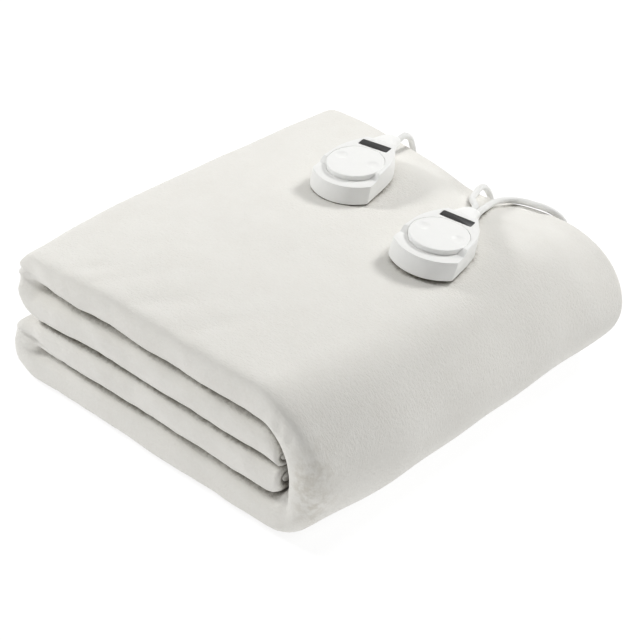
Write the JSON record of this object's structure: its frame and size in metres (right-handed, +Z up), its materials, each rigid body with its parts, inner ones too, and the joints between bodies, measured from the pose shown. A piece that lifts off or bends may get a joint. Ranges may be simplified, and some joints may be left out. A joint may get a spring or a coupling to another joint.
{
  "type": "electric heated blanket",
  "caption": "Thick napped electric heated blanket folded into a square bundle, with rotary heat controllers and their cords laid on top.",
  "frame": {"origin": "on the surface it rests on, under the middle of the folded bundle's box", "axes": "+Z up; +X towards the big round fold that closes the bundle like a book's spine; -Y towards the nested rounded fold ends, and +Y towards the hems, over which the cords leave"},
  "size_m": [0.3936, 0.5091, 0.1726],
  "materials": {
    "ivory_fleece": "short raised nap, fully matt, soft sheen at grazing angles",
    "white_shell": "moulded, satin gloss",
    "white_dial": "moulded, satin gloss",
    "black_plate": "plain, semi matt",
    "white_boot": "soft moulded",
    "white_cord": "smooth flexible sheath",
    "white_plug": "moulded",
    "pin_metal": "polished plated metal"
  },
  "bodies": {
    "base": {"blanket": "ivory_fleece", "case_right": "white_shell", "case_left": "white_shell", "label_right": "black_plate", "label_left": "black_plate", "boot_right": "white_boot", "boot_left": "white_boot", "lead_right": "white_cord", "lead_left": "white_cord", "mains_lead": "white_cord", "mains_coil": "white_cord", "mains_tail": "white_cord", "plug": "white_plug", "plug_pin_a": "pin_metal", "plug_pin_b": "pin_metal"},
    "knob_right": {"dial_right": "white_dial"},
    "knob_left": {"dial_left": "white_dial"}
  },
  "joints": [
    {"name": "heat_right", "type": "hinge", "parent": "base", "child": "knob_right", "pos_m": [0.09945, 0.04417, 0.15521], "axis": [0.1044, 0.0523, 0.9932], "range_deg": [0, 120]},
    {"name": "heat_left", "type": "hinge", "parent": "base", "child": "knob_left", "pos_m": [-0.02868, 0.08103, 0.16436], "axis": [0.0453, -0.0488, 0.9978], "range_deg": [0, 120]}
  ]
}
